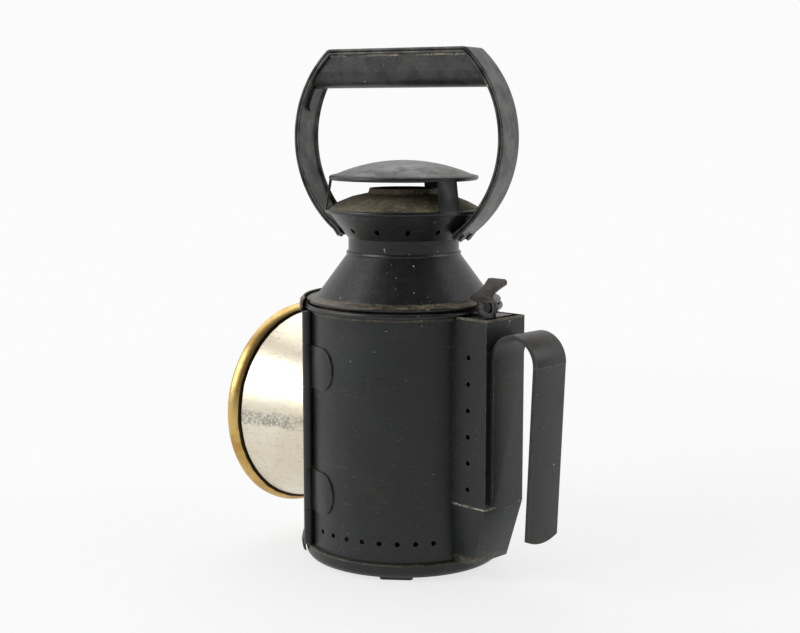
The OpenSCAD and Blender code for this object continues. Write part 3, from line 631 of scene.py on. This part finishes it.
# bands of dust: kind, low, high and soft edge in millimetres, strength, tone
caseMat = blackPaint("case_paint", 0.35, wear=0.4, dustUp=0.5,
                     bands=((band, 148.2, 149.0, 0.4, 0.6, "tan"),))
doorMat = blackPaint("door_paint", 0.36, wear=0.8, dustUp=0.4,
                     bands=((band, 3.0, 9.5, 1.0, 0.9, "tan"), (band, 150.8, 158.0, 0.8, 1.0, "cream")))
ringMat = blackPaint("ring_paint", 0.33, wear=0.5, dustUp=0.35, bands=((band, 8.9, 9.6, 0.3, 0.5, "tan"),))
boxMat = blackPaint("box_paint", 0.36, wear=1.0, dustUp=0.6, chipPlaces=0.57,
                    bands=((band, 43.0, 43.8, 0.4, 1.0, "cream"), (band, 149.4, 151.0, 0.3, 0.9, "tan")))
chuteMat = blackPaint("chute_paint", 0.42, wear=0.9, dustUp=0.5, chipPlaces=0.52, grime=0.7,
                      bands=((band, 9.0, 12.0, 2.5, 0.7, "tan"),))
topMat = blackPaint("top_paint", 0.31, wear=0.5, dustUp=0.12, chipPlaces=0.55,
                    bands=((band, 155.5, 156.9, 0.5, 1.0, "tan"),))
capMat = blackPaint("cap_paint", 0.30, wear=0.6, dustUp=0.42, grime=0.6)
# the strap's rubbed grey is partly painted sheen standing in for light on its lit side
handleMat = blackPaint("handle_paint", 0.34, wear=0.9, dustUp=0.25, chipPlaces=0.58, rubbedAndSheen=0.8)
gripMat = blackPaint("grip_paint", 0.33, wear=0.5, chipPlaces=0.54, rubbedAndSheen=0.22,
                     bands=((band, 295.2, 296.4, 0.5, 1.0, "cream"),))
hookMat = blackPaint("hook_paint", 0.38, color="olive", wear=1.0, dustUp=0.3, grime=0.7)
leafMat = blackPaint("leaf_paint", 0.32, wear=1.0, dustUp=0.3)
sootMat = sootyPaint("soot")
leverMat = rustySteel("lever_rust")
steelMat = dullSteel("dull_steel")
springMat = dullSteel("spring_steel", "spring", 0.38)
tinMat = tinnedSheet("tinned_sheet")
hoodMat = tinnedSheet("hood_tin", stained=True)
brassMat = agedBrass("aged_brass")
lensMat = tintedGlass("lens_glass", (0.97, 0.99, 0.98))
redMat = tintedGlass("ruby_glass", (0.75, 0.02, 0.02), 0.06)
greenMat = tintedGlass("green_glass", (0.02, 0.55, 0.25), 0.06)
wickMat = wickCotton("wick_cotton")

finishOf = {
    "case_wall": caseMat, "base_pan": ringMat, "feet": ringMat, "top_ring": ringMat,
    "hinge_leaves": leafMat, "hinge_pin": steelMat, "rear_box": boxMat, "chute": chuteMat,
    "belt_hook": hookMat, "catch_bridge": leafMat, "catch_screw": leafMat, "catch_spring": springMat,
    "button_pivot": steelMat, "font_seat": steelMat, "oil_font": tinMat, "burner_body": brassMat,
    "burner_dome": brassMat, "wick_tube": brassMat, "reflector": tinMat, "reflector_bracket": steelMat,
    "door_panel": doorMat, "lens_hood": hoodMat, "brass_rim": brassMat, "lens": lensMat,
    "lens_ring": steelMat, "door_pull": steelMat, "shoulder_cone": topMat, "neck_band": topMat,
    "collar": topMat, "chimney": sootMat, "cap": capMat, "cap_straps": capMat,
    "handle_strap": handleMat, "handle_grip": gripMat, "handle_rivets": leafMat,
    "drum_frame": sootMat, "red_glass": redMat, "green_glass": greenMat, "catch_lever": leverMat,
    "turn_button": leafMat, "wick": wickMat, "wick_winder": brassMat, "filler_cap": brassMat,
}
for nodeName, material in finishOf.items():
    cad = nodes[nodeName]
    cad.data.materials.clear()
    cad.data.materials.append(material)
print("finishes are on")


# handle strap

def makeStrap():
    strap = {"outer": 68.0, "middle": 248.0, "top": 299.5, "width": 23.0, "thick": 1.6, "roll": 0.8,
             "corner": 4.2, "cornerSteps": 6, "arcSteps": 44, "join": -52.0, "flare": 37.4, "tail": 4.2,
             "groove": 1.72, "ridge": 2.6, "kink": 3.0, "kinkSteps": 3}
    half = strap["width"] / 2
    roll = strap["roll"]
    # half of the section as (across, depth): a flat face, a wired edge with a groove, a thin band
    side = [(0.0, 0.0), (half - 3.0, 0.05)]
    side += arcPoints((half - roll, roll), roll, -90, 50, 6)
    side += [(half - 1.5, strap["groove"])]
    side += arcPoints((half - roll - 0.1, strap["ridge"]), roll, -50, 120, 7)
    side += [(half - 2.2, strap["ridge"]), (half - 2.9, strap["thick"] + 0.1), (0.0, strap["thick"])]
    outline = side + [(-a, d) for a, d in reversed(side[1:-1])]
    points = [(0.0, a, strap["top"] - d) for a, d in outline]
    obj = drawOutline("handle_strap_visual", points + [points[0]])
    closeOutline()
    # along the flat top, round the corner and down the loop
    rise = strap["top"] - strap["corner"] - strap["middle"]
    reach = math.sqrt((strap["outer"] - strap["corner"]) ** 2 - rise ** 2)
    pushSection(reach / 2, 0, 0)
    pushSection(reach / 2, 0, 0)
    meet = math.degrees(math.atan2(rise, reach))
    spinSection(90 - meet, strap["cornerSteps"], (reach, 0, strap["top"] - strap["corner"]), (0, 1, 0))
    spinSection(meet - strap["join"], strap["arcSteps"], (0, 0, strap["middle"]), (0, 1, 0))
    # a small kink, then the straight end that lies along the collar
    turn = math.radians(strap["join"])
    out = strap["outer"] + strap["kink"]
    spinSection(strap["join"] + strap["flare"], strap["kinkSteps"],
                (out * math.cos(turn), 0, strap["middle"] + out * math.sin(turn)), (0, 1, 0))
    lean = math.radians(strap["flare"])
    pushSection(-strap["tail"] * math.sin(lean), 0, -strap["tail"] * math.cos(lean))
    bpy.ops.mesh.edge_face_add()
    bpy.ops.object.mode_set(mode="OBJECT")
    addModifier(obj, "MIRROR", use_axis=(True, False, False), merge_threshold=0.00001)
    applyModifiers(obj)
    mergePoints(obj)
    obj.rotation_euler.z = math.radians(topTurn)
    finishPiece(obj, "handle_strap_visual", "top", handleMat, ["handle_strap"], 40)
    print("handle strap is made")


makeStrap()


# brass rim

def makeRim():
    rim = {"steps": 160, "start": 80.5, "wide": 63.6, "widest": 86.0, "front": 88.8, "mouth": 56.0,
           "seat": 87.6, "lensEdge": 59.4, "lap": 84.1}
    # radius and depth, from the step on the hood over the bulge to the lens's seat
    outline = [(59.65, rim["start"]), (60.5, rim["start"] + 0.1), (61.5, rim["start"] + 0.8),
               (62.4, rim["start"] + 2.0), (63.1, rim["start"] + 3.5), (rim["wide"], rim["widest"]),
               (63.5, 87.1), (63.0, 88.0), (62.1, 88.6), (60.8, rim["front"]),
               (rim["mouth"], rim["front"]), (rim["mouth"], rim["seat"]),
               (rim["lensEdge"], rim["seat"]), (rim["lensEdge"], rim["lap"]), (60.45, rim["lap"])]
    points = [(r, -y, lensZ) for r, y in outline]
    obj = lathe("brass_rim_visual", points, rim["steps"], (0, 0, lensZ), (0, 1, 0))
    finishPiece(obj, "brass_rim_visual", "door", brassMat, ["brass_rim"], 50)
    print("brass rim is made")


makeRim()


# cap

def makeCap():
    cap = {"steps": 128, "edge": 43.7, "roll": 1.35, "foot": 225.6, "lip": 0.7, "rise": 9.3,
           "sheet": 0.8, "domeSteps": 12, "rollSteps": 10, "pinhole": 0.02}
    middle = cap["edge"] - cap["roll"]
    base = cap["foot"] + cap["lip"]
    ball = (middle ** 2 + cap["rise"] ** 2) / (2 * cap["rise"])
    half = math.degrees(math.asin(middle / ball))
    top = base + cap["rise"] - ball
    # the dome's outer face, the rolled edge, then the inner face back to the middle
    outer = arcPoints((0, top), ball, 90, 90 - half, cap["domeSteps"])
    roll = arcPoints((middle, cap["foot"]), cap["roll"], 60, -170, cap["rollSteps"])
    inner = arcPoints((0, top), ball - cap["sheet"], 90 - half + 1.2, 90, cap["domeSteps"])
    outline = [(max(r, cap["pinhole"]), z) for r, z in outer[:-1] + roll + inner]
    points = [(r, 0, z) for r, z in outline]
    obj = lathe("cap_visual", points, cap["steps"], (0, 0, 0), (0, 0, 1))
    # close the two pin holes at the middle
    mergePoints(obj, 2 * cap["pinhole"] * mm)
    finishPiece(obj, "cap_visual", "top", capMat, ["cap"], 40)
    print("cap is made")


makeCap()


# folded and forged pieces with softened edges

softPieces = {
    "belt_hook": {"body": "case", "slot": "worn_black", "width": 0.8, "steps": 3, "finish": hookMat},
    "catch_lever": {"body": "catch", "slot": "rusty_steel", "width": 0.5, "steps": 3, "finish": leverMat},
    "catch_bridge": {"body": "case", "slot": "worn_black", "width": 0.25, "steps": 2, "finish": leafMat},
    "hinge_leaves": {"body": "case", "slot": "worn_black", "width": 0.3, "steps": 3, "finish": leafMat},
    "chute": {"body": "case", "slot": "black_paint", "width": 0.35, "steps": 2, "finish": chuteMat},
    "cap_straps": {"body": "top", "slot": "black_paint", "width": 0.3, "steps": 2, "finish": capMat},
    "turn_button": {"body": "button", "slot": "worn_black", "width": 0.3, "steps": 2, "finish": leafMat},
}


def softenEdges(nodeName, body, slot, width, steps, finish):
    # a merged copy of the plain solid, its flat faces made whole, its edges rounded over
    cad = nodes[nodeName]
    pick(cad)
    bpy.ops.object.duplicate()
    obj = bpy.context.object
    for key in list(obj.keys()):
        del obj[key]
    editAll(obj)
    bpy.ops.mesh.remove_doubles(threshold=0.000002)
    bpy.ops.mesh.dissolve_limited(angle_limit=math.radians(0.6))
    bpy.ops.mesh.normals_make_consistent(inside=False)
    bpy.ops.object.mode_set(mode="OBJECT")
    addModifier(obj, "BEVEL", width=width * mm, segments=steps, limit_method="ANGLE",
                angle_limit=math.radians(35), use_clamp_overlap=True)
    applyModifiers(obj)
    return finishPiece(obj, nodeName + "_visual", body, finish, [nodeName], 40)


for pieceName, values in softPieces.items():
    softenEdges(pieceName, **values)
print("soft edges are on")


# catch spring: the leaf that the lever's heel presses against the bridge, here a softened copy with a mesh
# of its own

def makeCatchSpring():
    leaf = {"width": 0.08, "steps": 2, "pressed": 0.45}
    spring = softenEdges("catch_spring", "case", "bare_steel", leaf["width"], leaf["steps"], springMat)
    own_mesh(spring)
    print("catch spring is in")


makeCatchSpring()


# studio: white paper, a sky that is brighter on the lens side, three soft lights

studio = {
    "floorSize": 6.0, "floorDrop": 0.0002, "paper": (0.86, 0.865, 0.87), "paperRough": 0.85,
    "glow": (0.965, 0.967, 0.967), "glowNear": 0.76, "nearRing": 0.25, "farRing": 0.9,
    "backdrop": 0.966, "skyBright": 0.92, "skyDim": 0.10,
    "skyLean": (0.6, 0.75, 0.45), "skyStart": -0.40, "skyEnd": 0.70,
    "left": Vector((0.691, -0.723, 0)), "back": Vector((0.723, 0.691, 0)), "aimHeight": 0.14,
    "cameraPlace": (0.59844, 0.56883, 0.26194), "cameraTilt": 81.83, "cameraTurn": 133.7,
    "lens": 63.39, "sensor": 36.0, "clipStart": 0.01,
}
studioLights = {
    "key": {"left": 1.5, "back": 0.5, "up": 1.0, "size": 1.1, "power": 20.0},
    "overhead": {"left": 0.3, "back": -0.9, "up": 1.5, "size": 1.5, "power": 11.0},
    "side": {"left": -1.5, "back": 0.2, "up": 0.9, "size": 0.9, "power": 8.0},
}


def makeFloor():
    clearSelection()
    bpy.ops.mesh.primitive_plane_add(size=studio["floorSize"], location=(0, 0, -studio["floorDrop"]))
    floor = bpy.context.object
    floor.name = "floor"
    paper = bpy.data.materials.new("paper")
    paper.use_nodes = True
    tree = paper.node_tree
    shader = tree.nodes["Principled BSDF"]
    shader.inputs["Base Color"].default_value = (*studio["paper"], 1)
    shader.inputs["Roughness"].default_value = studio["paperRough"]
    glow = tree.nodes.new("ShaderNodeEmission")
    glow.inputs["Color"].default_value = (*studio["glow"], 1)
    length = tree.nodes.new("ShaderNodeVectorMath")
    length.operation = "LENGTH"
    tree.links.new(objectPoint(tree), length.inputs[0])
    # plain paper takes the shadow near the lamp, and fades to an even glow
    far = rangeNode(tree, length.outputs["Value"], studio["nearRing"], studio["farRing"],
                    studio["glowNear"], 1.0)
    mix = tree.nodes.new("ShaderNodeMixShader")
    tree.links.new(far, mix.inputs[0])
    tree.links.new(shader.outputs[0], mix.inputs[1])
    tree.links.new(glow.outputs[0], mix.inputs[2])
    tree.links.new(mix.outputs[0], tree.nodes["Material Output"].inputs["Surface"])
    floor.data.materials.append(paper)


def makeSky():
    world = bpy.data.worlds.new("studio")
    bpy.context.scene.world = world
    world.use_nodes = True
    tree = world.node_tree
    ground = tree.nodes["Background"]
    coord = tree.nodes.new("ShaderNodeTexCoord").outputs["Generated"]
    split = tree.nodes.new("ShaderNodeSeparateXYZ")
    tree.links.new(coord, split.inputs[0])
    parts = [mathNode(tree, "MULTIPLY", split.outputs[i], share)
             for i, share in enumerate(studio["skyLean"])]
    toward = mathNode(tree, "ADD", mathNode(tree, "ADD", parts[0], parts[1]), parts[2])
    level = rangeNode(tree, toward, studio["skyStart"], studio["skyEnd"], studio["skyBright"],
                      studio["skyDim"])
    # what is seen straight on is even, whatever the sky lights
    seen = tree.nodes.new("ShaderNodeLightPath").outputs["Is Camera Ray"]
    choice = tree.nodes.new("ShaderNodeMix")
    tree.links.new(seen, choice.inputs["Factor"])
    tree.links.new(level, choice.inputs[2])
    choice.inputs[3].default_value = studio["backdrop"]
    tree.links.new(choice.outputs[0], ground.inputs["Strength"])
    ground.inputs["Color"].default_value = (1, 1, 1, 1)


def makeLights():
    for name, values in studioLights.items():
        place = studio["left"] * values["left"] + studio["back"] * values["back"]
        place += Vector((0, 0, values["up"]))
        bpy.ops.object.light_add(type="AREA", location=place)
        light = bpy.context.object
        light.name = name
        light.data.size = values["size"]
        light.data.energy = values["power"]
        aim = Vector((0, 0, studio["aimHeight"])) - place
        light.rotation_euler = aim.to_track_quat("-Z", "Y").to_euler()


def makeCamera():
    bpy.ops.object.camera_add(location=studio["cameraPlace"],
                              rotation=(math.radians(studio["cameraTilt"]), 0.0,
                                        math.radians(studio["cameraTurn"])))
    camera = bpy.context.object
    camera.name = "camera"
    camera.data.sensor_width = studio["sensor"]
    camera.data.lens = studio["lens"]
    camera.data.clip_start = studio["clipStart"]
    bpy.context.scene.camera = camera
    bpy.context.scene.view_settings.view_transform = "Standard"


makeFloor()
makeSky()
makeLights()
makeCamera()
print("studio is set")

clearSelection()
